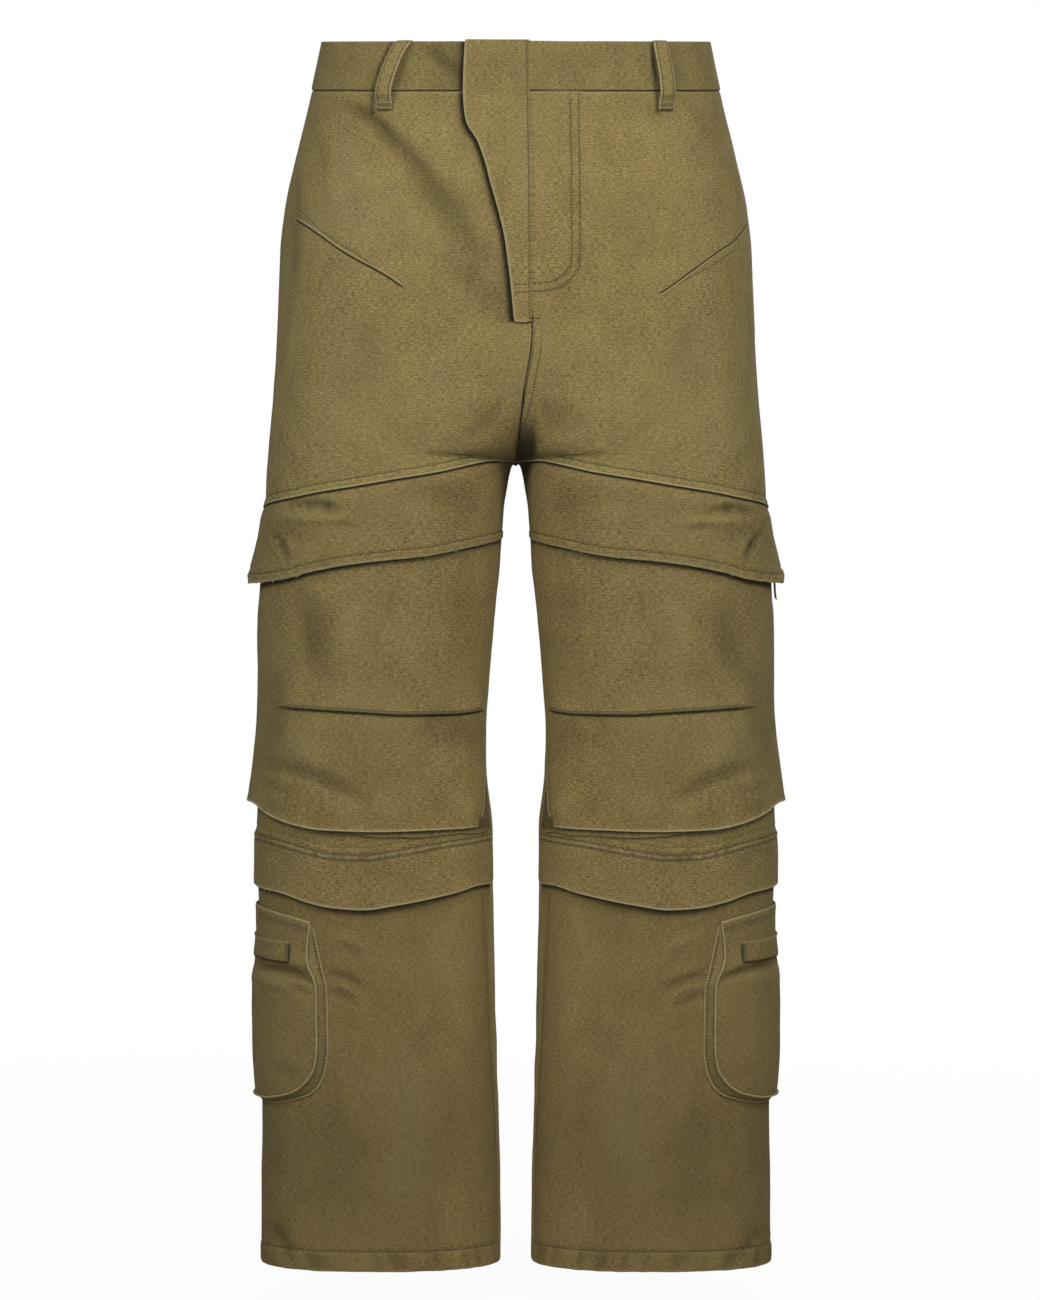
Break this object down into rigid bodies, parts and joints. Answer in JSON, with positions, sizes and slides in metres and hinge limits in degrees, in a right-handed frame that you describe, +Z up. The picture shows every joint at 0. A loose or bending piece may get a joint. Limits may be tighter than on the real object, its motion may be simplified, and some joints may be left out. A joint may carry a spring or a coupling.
{
  "type": "cargo trousers",
  "caption": "Wide-leg cotton canvas cargo trousers, filled out and hollow, with an asymmetric fly overlap, flapped thigh pockets, knee pleats and bellows calf pockets.",
  "frame": {"origin": "middle of the waist opening, level with the waist edge at the sides, where the wearer's waist holds the trousers up", "axes": "+Z up, the front faces -Y, +X towards the wearer's left leg"},
  "size_m": [0.4648, 0.2608, 1.061],
  "materials": {
    "canvas": "olive cotton canvas, garment washed, matt, with a fine slubby plain weave",
    "edge": "pale worn and pressed canvas edges",
    "thread": "dark olive-brown cotton sewing thread, matt"
  },
  "bodies": {
    "root": {"back_left": "canvas", "back_right": "canvas", "belt_loop_back_left": "canvas", "belt_loop_back_right": "canvas", "belt_loop_centre_back": "canvas", "belt_loop_front_left": "canvas", "belt_loop_front_right": "canvas", "calf_gusset_left": "canvas", "calf_gusset_right": "canvas", "calf_pocket_left": "canvas", "calf_pocket_right": "canvas", "calf_welt_left": "canvas", "calf_welt_right": "canvas", "flap_tab_left": "canvas", "fly_overlap": "canvas", "front_hip_left": "canvas", "front_hip_right": "canvas", "front_shin_left": "canvas", "front_shin_right": "canvas", "front_thigh_left": "canvas", "front_thigh_right": "canvas", "knee_flap_left": "canvas", "knee_flap_right": "canvas", "thigh_flap_left": "canvas", "thigh_flap_right": "canvas", "thigh_pocket_left": "canvas", "thigh_pocket_right": "canvas", "waistband_back": "canvas", "waistband_front_left": "canvas", "waistband_front_right": "canvas"}
  },
  "joints": []
}
